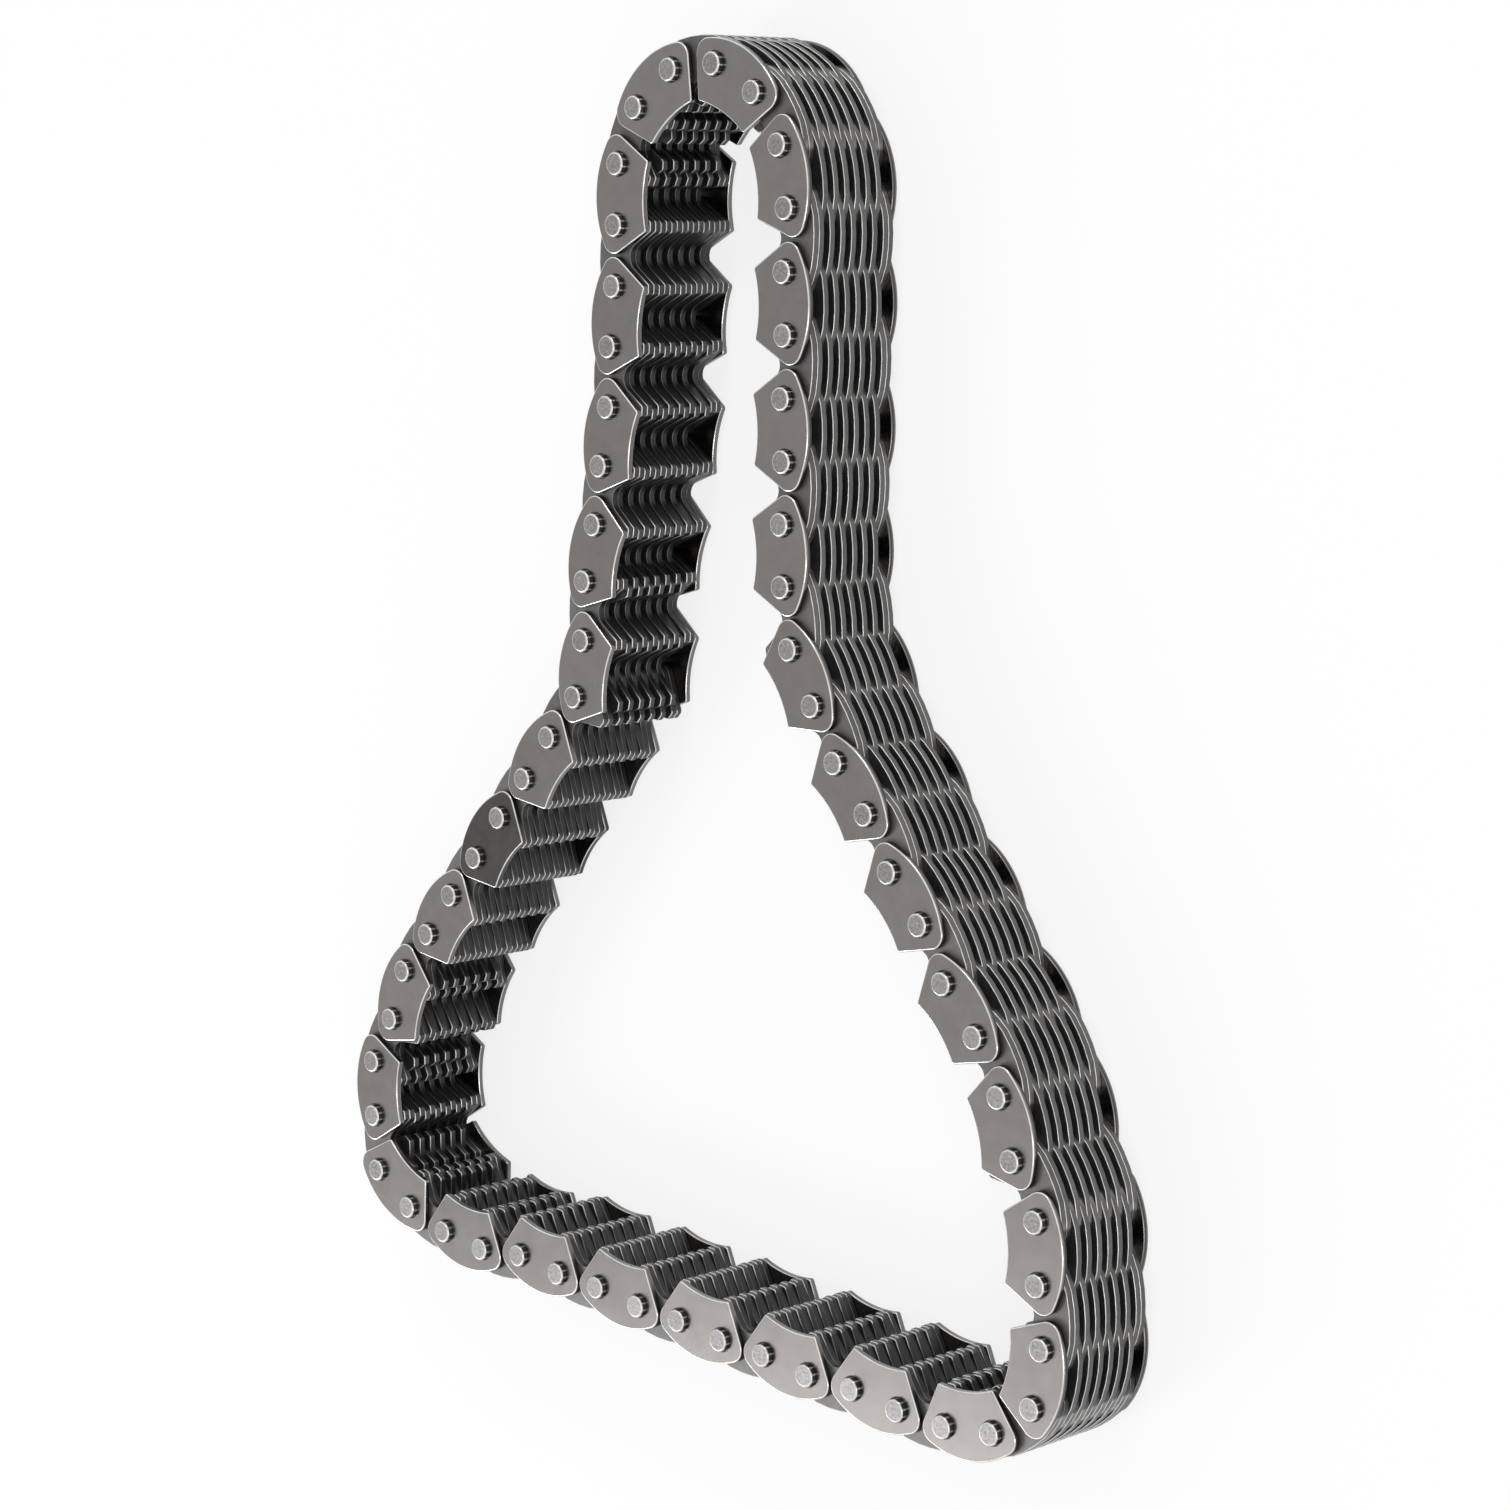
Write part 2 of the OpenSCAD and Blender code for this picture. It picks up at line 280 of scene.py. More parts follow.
def plate_outline(sizes, guide):
    """Outline of a plate, anticlockwise from its right end on the pin line: rounded ends that blend into
    the back, straight flanks and toes. A guide plate has a back of one long curve and a hollow base, a
    link plate a flat back with two shoulders and a crotch. Returns points, normals and the index of the
    left end on the pin line."""
    back = sizes.guide_back if guide else sizes.link_back
    end_x = sizes.pitch / 2 + sizes.end_reach - sizes.end_r
    end_y = math.sqrt((sizes.back_r - sizes.end_r) ** 2 - end_x ** 2) - sizes.back_r + back
    toe_y = sizes.toe_r - sizes.toe_depth
    cos_f = math.cos(sizes.flank)
    sin_f = math.sin(sizes.flank)
    toe_x = (cos_f * end_x - sin_f * end_y + sizes.end_r - sizes.toe_r + sin_f * toe_y) / cos_f
    flank = math.degrees(sizes.flank)
    curve_r = sizes.back_r if guide else sizes.shoulder_r
    flat_x = end_x - math.sqrt((curve_r - sizes.end_r) ** 2 - (end_y - back + curve_r) ** 2)
    brow = math.degrees(math.atan2(end_y + curve_r - back, end_x - flat_x))
    split = -math.degrees(math.asin(end_y / sizes.end_r))
    n_end, n_brow, n_back, n_low, n_toe, flat = (8, 2, 5, 3, 5, 0) if guide else (2, 2, 2, 1, 2, 1)
    brow_share = 2 / 7 if guide else 0.32
    rise = brow + (90 - brow) * brow_share
    base_chords = 10
    crotch_chords = 6
    rows = [(end_x, end_y, sizes.end_r, split, brow, n_end, 0),
            (flat_x, back - curve_r, curve_r, brow, rise, n_brow, 0),
            (flat_x, back - curve_r, curve_r, rise, 90, n_back, flat),
            (-flat_x, back - curve_r, curve_r, 90, 180 - rise, n_back, 0),
            (-flat_x, back - curve_r, curve_r, 180 - rise, 180 - brow, n_brow, 0),
            (-end_x, end_y, sizes.end_r, 180 - brow, 180 - split, n_end, 0),
            (-end_x, end_y, sizes.end_r, 180 - split, 180 + flank, n_low, 1)]
    if guide:
        top = sizes.base_rise - sizes.toe_depth
        drop = toe_y - top
        base_r = (toe_x ** 2 + drop ** 2 - sizes.toe_r ** 2) / (2 * (sizes.toe_r - drop))
        lean = math.degrees(math.asin(toe_x / (base_r + sizes.toe_r)))
        rows += [(-toe_x, toe_y, sizes.toe_r, 180 + flank, 270 + lean, n_toe, 0),
                 (0.0, top - base_r, -base_r, 270 + lean, 270 - lean, base_chords, 0),
                 (toe_x, toe_y, sizes.toe_r, 270 - lean, 360 - flank, n_toe, 1)]
    else:
        slope = math.degrees(sizes.crotch_slope)
        cos_c = math.cos(sizes.crotch_slope)
        sin_c = math.sin(sizes.crotch_slope)
        crotch_y = -sizes.crotch_depth - sizes.crotch_r
        tip_y = sizes.tip_r - sizes.toe_depth
        tip_x = (sizes.crotch_r + sizes.tip_r - sin_c * (tip_y - crotch_y)) / cos_c
        wear_x = toe_x + sizes.wear_run * sin_f
        wear_y = toe_y + sizes.wear_run * cos_f
        rows += [(-wear_x, wear_y, sizes.toe_r, 180 + flank, 270, 1, 0),
                 (-toe_x, toe_y, sizes.toe_r, 180 + flank, 270, n_toe, 1),
                 (-tip_x, tip_y, sizes.tip_r, 270, 360 - slope, 1, 1),
                 (0.0, crotch_y, -sizes.crotch_r, 360 - slope, 180 + slope, crotch_chords, 1),
                 (tip_x, tip_y, sizes.tip_r, 180 + slope, 270, 1, 1),
                 (toe_x, toe_y, sizes.toe_r, 270, 360 - flank, n_toe, 1),
                 (wear_x, wear_y, sizes.toe_r, 360 - flank, 270, 1, 0)]
    rows.append((end_x, end_y, sizes.end_r, 360 - flank, 360 + split, n_low, 0))
    points, ways = arcs(rows)
    return points, ways, 2 * (n_end + n_brow + n_back) + flat


def grid_quads(rows, across, first=0):
    """Quads between neighbouring rows of a grid that closes on itself across."""
    row, column = np.meshgrid(np.arange(rows - 1), np.arange(across), indexing="ij")
    following = (column + 1) % across
    quads = np.stack([row * across + column, row * across + following,
                      (row + 1) * across + following, (row + 1) * across + column], axis=-1)
    return first + quads.reshape(-1, 4)


def solid_arrays(points, bends, quads, flats, rim, grime):
    """One solid as whole arrays: its points, the point of every face corner, where each face starts, the
    corners' normals and their marks. Quads take the bends and marks of their points, flats are rows of a
    face, its normal and its mark of oil and painted shade, and have no rim."""
    corners = np.concatenate([quads.ravel()] + [face for face, _, _ in flats])
    flat_normals = [np.tile(np.array(normal, dtype=float), (len(face), 1)) for face, normal, _ in flats]
    flat_oil_shades = [np.full(len(face), oil) for face, _, oil in flats]
    normals = np.concatenate([bends[quads.ravel()]] + flat_normals)
    sizes = np.concatenate([np.full(len(quads), 4), [len(face) for face, _, _ in flats]]).astype(int)
    starts = np.concatenate([[0], np.cumsum(sizes)[:-1]])
    return {"points": points, "corners": corners, "starts": starts, "normals": normals,
            "rim": np.append(rim[quads.ravel()], np.zeros(len(corners) - quads.size)),
            "grime": np.concatenate([grime[quads.ravel()]] + flat_oil_shades)}


def plate_wall(sizes, guide, oil, outline, ways):
    """Wall of a plate with its rounded edges, as a grid with one row per tilt of the surface. A point is
    the outline moved in by bevel * (1 - cos tilt) and up by bevel * (1 + sin tilt), and the upper half of
    the rows is lifted to the upper face. On a guide plate the painted shade of each face runs over that
    side's edge, but not over the toes and the hollow base. A link plate's wall is darker below its back,
    with oil and painted shade; its toes are rubbed, worn steel with a painted glint, and its shoulders get
    a painted glint. Returns points, bends, rim and the mark of oil and painted shade."""
    toe = (outline[:, 1] < sizes.toe_band - sizes.toe_depth) * (0 if guide else 1)
    bevel = (sizes.guide_bevel if guide else sizes.link_bevel) * (1 + TOE_WEAR * toe)
    thick = sizes.guide_t if guide else sizes.link_t
    bevel_rows = 4 if guide else 2
    quarter = np.radians(np.linspace(0, 90, bevel_rows))
    tilt = np.concatenate([-quarter[::-1], quarter])
    upper = np.arange(len(tilt)) >= bevel_rows
    inset = bevel * (1 - np.cos(tilt))[:, None]
    height = bevel * (1 + np.sin(tilt))[:, None] + upper[:, None] * (thick - 2 * bevel)
    plan = outline[None] - ways[None] * inset[..., None]
    points = np.concatenate([plan, height[..., None]], axis=2)
    bends = np.concatenate([ways[None] * np.cos(tilt)[:, None, None],
                            np.broadcast_to(np.sin(tilt)[:, None, None], plan.shape[:2] + (1,))], axis=2)
    rim = np.repeat(np.cos(tilt)[:, None], len(outline), axis=1)
    if guide:
        # painted shade: beside a shaded face, the edge rows are darkened down to the given depth
        grime = np.repeat(np.sign(oil), bevel_rows)[:, None] * (outline[:, 1] > -sizes.edge_shade_depth)
    else:
        drop = sizes.link_back - outline[:, 1]
        # painted glint: the shoulder's walls between the glint's top and low drop are brightened a little
        glint = (drop > sizes.glint_top) * (drop < sizes.glint_low)
        rim = rim * (1 - SHOULDER_GLINT * glint)
        # oil and painted shade: the wall darkens below the oil line
        depth = np.clip((sizes.oil_shade_line - plan[..., 1]) / sizes.oil_shade_fade, 0, 1)
        # the toes' walls and edges keep less of that darkening: rubbed steel with a painted glint
        grime = depth * (1 - toe * np.where(np.cos(tilt) > 0.5, TOE_WALL_WEAR_GLINT, TOE_EDGE_WEAR_GLINT)[:, None])
    return points, bends, rim, grime


def plate_hole(sizes, guide, gap, side):
    """Hole for a pin in a plate, on its left (-1) or right (1), as a grid of circles, clockwise so that it
    faces its own axis. A circle's chords touch the bore from outside. On a guide plate each face has a
    wider circle as well, for a ring of painted contact shade round the pin. Returns points, bends, rim and
    the mark of oil and painted shade."""
    around = 28 if guide else 6
    bearing = -2 * np.pi * np.arange(around) / around
    bore = (sizes.pin_r + gap) / math.cos(math.pi / around)
    wide = bore + sizes.contact_shade_width
    radius = np.array([wide, bore, bore, wide] if guide else [bore, bore])
    level = sizes.guide_t * np.array([0, 0, 1, 1]) if guide else sizes.link_t * np.array([0, 1])
    # painted contact shade: a dark ring round the pin on each face of a guide plate
    contact_shade = np.array([0.0, 1.0, 1.0, 0.0] if guide else [1.0, 1.0])
    spoke = np.stack([np.cos(bearing), np.sin(bearing)], axis=1)
    ring = radius[:, None, None] * spoke[None] + np.array([side * sizes.pitch / 2, 0.0])
    points = np.concatenate([ring, np.broadcast_to(level[:, None, None], ring.shape[:2] + (1,))], axis=2)
    bends = np.zeros_like(points)
    if guide:
        bends[:2, :, 2] = -1
        bends[2:, :, 2] = 1
    else:
        bends[..., :2] = -spoke[None]
    grime = np.repeat(contact_shade[:, None], around, axis=1)
    return points, bends, np.zeros_like(grime), grime


def plate_solid(sizes, guide, gap, oil):
    """Bevelled plate: its wall, its two holes, and on each side two flat faces that meet on the pin line.
    The oil and painted shade on its lower and upper face are given."""
    outline, ways, left = plate_outline(sizes, guide)
    grids = [plate_wall(sizes, guide, oil, outline, ways)]
    grids += [plate_hole(sizes, guide, gap, side) for side in (-1, 1)]
    rows, across = np.array([grid[0].shape[:2] for grid in grids]).T
    starts = np.cumsum(rows * across) - rows * across
    quads = np.concatenate([grid_quads(*each) for each in zip(rows, across, starts)])
    points, bends = [np.concatenate([grid[i].reshape(-1, 3) for grid in grids]) for i in (0, 1)]
    rim, grime = [np.concatenate([grid[i].ravel() for grid in grids]) for i in (2, 3)]

    count, around = across[:2]
    upper = np.append(np.arange(around // 2, around), 0)
    lower = np.arange(around // 2 + 1)
    flats = []
    for last, rings in enumerate((starts, starts + (rows - 1) * across)):
        edge, left_hole, right_hole = rings
        top_face = np.concatenate([edge + np.arange(left + 1), left_hole + upper, right_hole + upper])
        low_face = np.concatenate([edge + np.arange(left, count), [edge],
                                   right_hole + lower, left_hole + lower])
        for face in (top_face, low_face):
            flats.append((face if last else face[::-1], (0, 0, 2 * last - 1), oil[last]))
    return solid_arrays(points, bends, quads, flats, rim, grime)


def oil_shaded(solids):
    """First of some solids that differ in their mark of oil and painted shade alone, with that mark of each
    as a row of its own.
    """
    return dict(solids[0], grime=np.stack([solid["grime"] for solid in solids]))


def pin_solid(sizes):
    """Pin turned about its axis: a profile of radius, height and tilt of the normal, carried round a
    circle, with a flat disc at both ends. Where it stands out of the plates it has flat sides: the radius
    is multiplied by cos(half a side) / cos(bearing off the side's middle), and the corners between the
    sides get a painted highlight."""
    radius = sizes.pin_r
    cut = sizes.pin_chamfer
    # one row per ring: radius, height, tilt, and how flat-sided it is
    end = np.array([[radius - 1.5 * cut, 0.0, -90.0, 0.0],
                    [radius - 0.95 * cut, cut * 0.12, -67.0, 0.0],
                    [radius - 0.22 * cut, cut * 0.8, -29.0, 0.5],
                    [radius, cut * 1.1, 0.0, 1.0],
                    [radius, sizes.pin_stand, 0.0, 1.0],
                    [radius, sizes.pin_stand * 1.02, 0.0, 0.0]])
    other = end[::-1] * np.array([1, -1, -1, 1]) + np.array([0, HEIGHT, 0, 0])
    profile = np.concatenate([end, other])
    sided = profile[:, 3:]
    steps = 5
    around = sizes.pin_sides * steps
    bearing = 2 * np.pi * np.arange(around) / around
    half_side = math.pi / sizes.pin_sides
    corner = np.arange(around) % steps == 0
    off = np.where(corner, 0.0, np.mod(bearing, 2 * half_side) - half_side)
    flat = np.where(corner, 1.0, math.cos(half_side) / np.cos(off))
    reach = profile[:, :1] * (1 + sided * (flat - 1))
    spoke = np.stack([np.cos(bearing), np.sin(bearing), np.zeros(around)], axis=1)
    rise = np.array([0.0, 0.0, 1.0])
    points = reach[..., None] * spoke[None] + profile[:, 1][:, None, None] * rise
    flatness = 0.8
    lean = bearing - flatness * sided * off
    facing = np.stack([np.cos(lean), np.sin(lean), np.zeros_like(lean)], axis=-1)
    tilt = np.radians(profile[:, 2])[:, None]
    bends = np.cos(tilt)[..., None] * facing + np.sin(tilt)[..., None] * rise
    ridge = sided * corner
    # painted highlight: the rim mark brightens the chamfer rows, and brightens the corners between the flat
    # sides more
    ridge_sheen = 0.35
    rim = np.cos(tilt) * (1 - ridge_sheen * ridge)
    grime = (tilt == 0) * (1 - ridge)
    last = (len(profile) - 1) * around
    quads = grid_quads(len(profile), around)
    flats = [(np.arange(around)[::-1], (0, 0, -1), 0.0), (last + np.arange(around), (0, 0, 1), 0.0)]
    return solid_arrays(points.reshape(-1, 3), bends.reshape(-1, 3), quads, flats,
                        rim.ravel(), grime.ravel())


def speckle(numbers):
    """Steady value from 0 to 1 for each whole number: the fraction of a large multiple of its sine."""
    return np.modf(np.abs(np.sin(np.asarray(numbers) * 12.9898 + 4.1414)) * 43758.5453)[0]


def tones(spread, numbers):
    """Steady tone for each whole number, one spread wide about 1."""
    return 1 + spread * (speckle(numbers) - 0.5)


def put_piece(name, solid, turn, spots, shades, material, body):
    """Mesh piece made of copies of one solid, each turned alike and moved to its own spot: every copy's
    points are the solid's points times the turn plus the spot. All copies have one mark of oil and painted
    shade, or each has its own row of it. The piece rides on a body and stands for its node."""
    copies = len(spots)
    oil_shades = np.broadcast_to(solid["grime"], (copies, len(solid["corners"])))
    points = (solid["points"] @ turn)[None] + spots[:, None, :]
    count = len(solid["points"])
    corners = solid["corners"][None] + count * np.arange(copies)[:, None]
    starts = solid["starts"][None] + len(solid["corners"]) * np.arange(copies)[:, None]
    normals = np.tile(solid["normals"] @ turn, (copies, 1))
    mesh = bpy.data.meshes.new(name)
    mesh.vertices.add(copies * count)
    mesh.vertices.foreach_set("co", points.ravel())
    mesh.loops.add(corners.size)
    mesh.loops.foreach_set("vertex_index", corners.ravel().astype(np.int32))
    mesh.polygons.add(starts.size)
    mesh.polygons.foreach_set("loop_start", starts.ravel().astype(np.int32))
    mesh.update(calc_edges=True)
    if mesh.validate():
        raise RuntimeError(f"{name}: the mesh isn't sound")
    marks = {"rim": np.tile(solid["rim"], copies), "grime": oil_shades.ravel(),
             "shade": np.repeat(shades, len(solid["corners"]))}
    for mark, values in marks.items():
        mesh.attributes.new(mark, "FLOAT", "CORNER").data.foreach_set("value", values.astype(np.float32))
    mesh.normals_split_custom_set(normals.tolist())
    mesh.materials.append(material)
    piece = bpy.data.objects.new(name, mesh)
    bpy.context.scene.collection.objects.link(piece)
    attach(piece, body)
    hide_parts(body)


def guide_body(k):
    """Name of the body that guide link k belongs to."""
    if k in (1, PAIRS):
        return CROWN
    return HEEL if k in (HEEL_PAIR, HEEL_PAIR + 1) else f"guide_link_{k:02d}"


def joint_body(k):
    """Name of the body that joint link k belongs to."""
    if k == PAIRS:
        return CROWN
    return HEEL if k == HEEL_PAIR else f"joint_link_{k:02d}"


def stacked(middle, heights):
    """Spots over one place in plan, one for each height."""
    return np.column_stack([np.tile(middle, (len(heights), 1)), heights])


def node(tree, kind, spot, inputs=None, **settings):
    """Shader node with its settings and plain input values."""
    made = tree.nodes.new(kind)
    made.location = spot
    for key, value in settings.items():
        setattr(made, key, value)
    for key, value in (inputs or {}).items():
        made.inputs[key].default_value = value
    return made


def math_node(tree, operation, spot, first, second):
    """Math node whose two inputs are sockets or numbers."""
    made = node(tree, "ShaderNodeMath", spot, operation=operation)
    for socket, value in zip(made.inputs, (first, second)):
        if isinstance(value, bpy.types.NodeSocket):
            tree.links.new(value, socket)
        else:
            socket.default_value = value
    return made.outputs[0]


def mix_node(tree, spot, factor, first, second, blend="MIX"):
    """Colour mix of two sockets by a socket or number."""
    made = node(tree, "ShaderNodeMix", spot, data_type="RGBA", blend_type=blend)
    for index, value in ((0, factor), (6, first), (7, second)):
        if isinstance(value, bpy.types.NodeSocket):
            tree.links.new(value, made.inputs[index])
        else:
            made.inputs[index].default_value = value
    return made.outputs[2]


def steel_group():
    """Shared group for oiled steel: cloudy mottling and fine grain on Object coordinates; rubbed bright
    edges, worn steel with a painted highlight, where the rim mark passes one half; dark oil and painted
    shade where the mark of oil and shade is high."""
    known = bpy.data.node_groups.get("oiled_steel")
    if known:
        return known
    tree = bpy.data.node_groups.new("oiled_steel", "ShaderNodeTree")
    face = tree.interface
    for name in ("Tone", "Edge Tone", "Oil Tone"):
        face.new_socket(name, in_out="INPUT", socket_type="NodeSocketColor")
    for name in ("Rim", "Grime", "Shade", "Cloud Scale", "Grain Scale", "Gloss", "Mottle"):
        face.new_socket(name, in_out="INPUT", socket_type="NodeSocketFloat")
    face.new_socket("Color", in_out="OUTPUT", socket_type="NodeSocketColor")
    face.new_socket("Roughness", in_out="OUTPUT", socket_type="NodeSocketFloat")
    face.new_socket("Height", in_out="OUTPUT", socket_type="NodeSocketFloat")
    given = node(tree, "NodeGroupInput", (-1200, 0)).outputs
    result = node(tree, "NodeGroupOutput", (900, 0)).inputs
    place = node(tree, "ShaderNodeTexCoord", (-1200, -400)).outputs["Object"]
    cloud = node(tree, "ShaderNodeTexNoise", (-900, -300), {"Detail": 5.0, "Roughness": 0.62})
    grain = node(tree, "ShaderNodeTexNoise", (-900, -600), {"Detail": 3.0, "Roughness": 0.7})
    for noise, scale in ((cloud, "Cloud Scale"), (grain, "Grain Scale")):
        tree.links.new(place, noise.inputs["Vector"])
        tree.links.new(given[scale], noise.inputs["Scale"])
    cloud = cloud.outputs["Fac"]
    grain = grain.outputs["Fac"]
    grain_share = 0.35
    wear_sheen_least = 0.35
    oil_shade_start = 0.3
    oil_shade_gain = 3.0
    oil_shade_cover = 0.78
    cloud_gloss = 0.05
    rubbed_gloss = 0.12
    cloud_height = 1.5

    centred = math_node(tree, "SUBTRACT", (-650, -300), cloud, 0.5)
    mottled = math_node(tree, "MULTIPLY", (-500, -300), centred, given["Mottle"])
    fine = math_node(tree, "SUBTRACT", (-780, -600), grain, 0.5)
    grained = math_node(tree, "MULTIPLY", (-650, -600), fine, grain_share)
    varied = math_node(tree, "ADD", (-420, -300), mottled, grained)
    level = math_node(tree, "ADD", (-350, -300), varied, given["Shade"])
    tone = mix_node(tree, (-150, 200), 1.0, given["Tone"], level, "MULTIPLY")

    # rubbed edges: the middle of each bevel goes towards the edge tone, worn steel with a painted highlight
    spare = math_node(tree, "SUBTRACT", (-900, 100), 1.0, given["Rim"])
    both = math_node(tree, "MULTIPLY", (-820, 100), given["Rim"], spare)
    bevel = math_node(tree, "MULTIPLY", (-750, 100), both, 4.0)
    patchy = math_node(tree, "ADD", (-700, 0), cloud, wear_sheen_least)
    worn_sheen = math_node(tree, "MULTIPLY", (-680, 100), bevel, patchy)
    # oil and painted shade: where the mark is high the tone goes towards the oil tone, and the rubbed edges
    # fade
    blotchy = math_node(tree, "ADD", (-1000, -150), cloud, 0.5)
    spread = math_node(tree, "MULTIPLY", (-850, -100), given["Grime"], blotchy)
    over = math_node(tree, "SUBTRACT", (-700, -100), spread, oil_shade_start)
    oil_shade_share = math_node(tree, "MULTIPLY", (-600, -100), over, oil_shade_gain)
    oil_shade_share.node.use_clamp = True
    covered = math_node(tree, "MULTIPLY", (-520, 20), oil_shade_share, oil_shade_cover)
    clean = math_node(tree, "SUBTRACT", (-450, 20), 1.0, covered)
    rubbed_sheen = math_node(tree, "MULTIPLY", (-350, 100), worn_sheen, clean)
    rubbed_sheen.node.use_clamp = True
    oiled_shaded = mix_node(tree, (100, 150), oil_shade_share, tone, given["Oil Tone"])
    color = mix_node(tree, (350, 150), rubbed_sheen, oiled_shaded, given["Edge Tone"])
    tree.links.new(color, result["Color"])

    cloudy = math_node(tree, "MULTIPLY", (-50, -250), centred, cloud_gloss)
    uneven = math_node(tree, "ADD", (100, -200), given["Gloss"], cloudy)
    smoother = math_node(tree, "MULTIPLY", (100, -350), rubbed_sheen, rubbed_gloss)
    rough = math_node(tree, "SUBTRACT", (250, -200), uneven, smoother)
    tree.links.new(rough, result["Roughness"])
    swell = math_node(tree, "MULTIPLY", (100, -550), cloud, cloud_height)
    height = math_node(tree, "ADD", (250, -500), grain, swell)
    tree.links.new(height, result["Height"])
    return tree


def steel(name, tone, edge, oil, cloud_scale, grain_scale, gloss, mottle, bump, metal):
    """Steel material: the shared group feeds colour, roughness and bump, and metal is set on the shader."""
    known = bpy.data.materials.get(name)
    if known:
        return known
    material = bpy.data.materials.new(name)
    material.use_nodes = True
    tree = material.node_tree
    tree.nodes.clear()
    group = node(tree, "ShaderNodeGroup", (-300, 0), node_tree=steel_group())
    for key, value in (("Tone", tone), ("Edge Tone", edge), ("Oil Tone", oil)):
        group.inputs[key].default_value = (*value, 1.0)
    for key, value in (("Cloud Scale", cloud_scale), ("Grain Scale", grain_scale),
                       ("Gloss", gloss), ("Mottle", mottle)):
        group.inputs[key].default_value = value
    # marks read from the mesh: the first for rubbed edges with their painted highlight, the second for oil
    # and painted shade, the third for each piece's tone, painted darker on the shaded guide link
    for row, mark in enumerate(("rim", "grime", "shade")):
        read = node(tree, "ShaderNodeAttribute", (-600, -200 * row), attribute_name=mark)
        tree.links.new(read.outputs["Fac"], group.inputs[mark.capitalize()])
    raised = node(tree, "ShaderNodeBump", (-50, -300), {"Strength": bump, "Distance": BUMP_HEIGHT})
    shader = node(tree, "ShaderNodeBsdfPrincipled", (150, 0), {"Metallic": metal})
    out = node(tree, "ShaderNodeOutputMaterial", (450, 0))
    tree.links.new(group.outputs["Color"], shader.inputs["Base Color"])
    tree.links.new(group.outputs["Roughness"], shader.inputs["Roughness"])
    tree.links.new(group.outputs["Height"], raised.inputs["Height"])
    tree.links.new(raised.outputs["Normal"], shader.inputs["Normal"])
    tree.links.new(shader.outputs[0], out.inputs["Surface"])
    return material


def guide_steel(finish):
    """Satin, tumbled steel of the guide plates."""
    return steel("guide_steel", finish.guide_tone, finish.guide_wear_sheen, finish.guide_shade_tone,
                 cloud_scale=320.0, grain_scale=5200.0, gloss=0.26, mottle=0.28, bump=0.025,
                 metal=1.0)


def plate_steel(finish):
    """Dark, oiled steel of the link plates, with painted shade in its oil and painted highlights on its
    edges.
    """
    return steel("plate_steel", finish.plate_tone, finish.plate_wear_sheen, finish.plate_oil_shade_tone,
                 cloud_scale=700.0, grain_scale=4200.0, gloss=0.4, mottle=0.6, bump=0.3,
                 metal=0.7)


def pin_steel(finish):
    """Steel of the pins: mottled ends, chamfers with a painted highlight, and dark sides."""
    return steel("pin_steel", finish.pin_tone, finish.pin_chamfer_sheen, finish.pin_dark,
                 cloud_scale=2300.0, grain_scale=6000.0, gloss=0.29, mottle=2.0, bump=0.42,
                 metal=0.6)


class CHAIN_OT_guide_plates(bpy.types.Operator):
    """Make both guide plates of every guide link"""
    bl_idname = "chain.guide_plates"
    bl_label = "Guide plates"

    def execute(self, context):
        sizes = context.scene.chain_sizes
        finish = context.scene.chain_finish
        spots = pin_places(sizes)
        oil = finish.guide_inner_shade
        # painted shade on each guide plate's inner face
        sides = ((0.0, oil), (oil, 0.0))
        solid = oil_shaded([plate_solid(sizes, True, sizes.seat_gap, side) for side in sides])
        heights = layer_heights(sizes, "G")
        for k in range(1, PAIRS + 1):
            middle, turn = link_frame(spots, 2 * k - 1)
            shades = tones(finish.guide_spread, k + GUIDE_DRAW_STEP * np.arange(2))
            # painted shade on one guide link's faces
            if k == finish.shaded_guide:
                shades = shades * (1 - finish.shade_depth)
            put_piece(f"guide_plates_{k:02d}", solid, turn, stacked(middle, heights), shades,
                      guide_steel(finish), guide_body(k))
        return {"FINISHED"}


class CHAIN_OT_inner_plates(bpy.types.Operator):
    """Make the toothed link plates between the guide plates of every guide link"""
    bl_idname = "chain.inner_plates"
    bl_label = "Inner link plates"

    def execute(self, context):
        sizes = context.scene.chain_sizes
        finish = context.scene.chain_finish
        spots = pin_places(sizes)
        # oil and painted shade on both faces of each inner link plate
        oil = finish.inner_oil_shade
        solid = plate_solid(sizes, False, sizes.seat_gap, (oil, oil))
        heights = layer_heights(sizes, "L")
        for k in range(1, PAIRS + 1):
            middle, turn = link_frame(spots, 2 * k - 1)
            shades = tones(finish.plate_spread, k + PLATE_DRAW_STEP * np.arange(len(heights)))
            put_piece(f"inner_plates_{k:02d}", solid, turn, stacked(middle, heights), shades,
                      plate_steel(finish), guide_body(k))
        return {"FINISHED"}


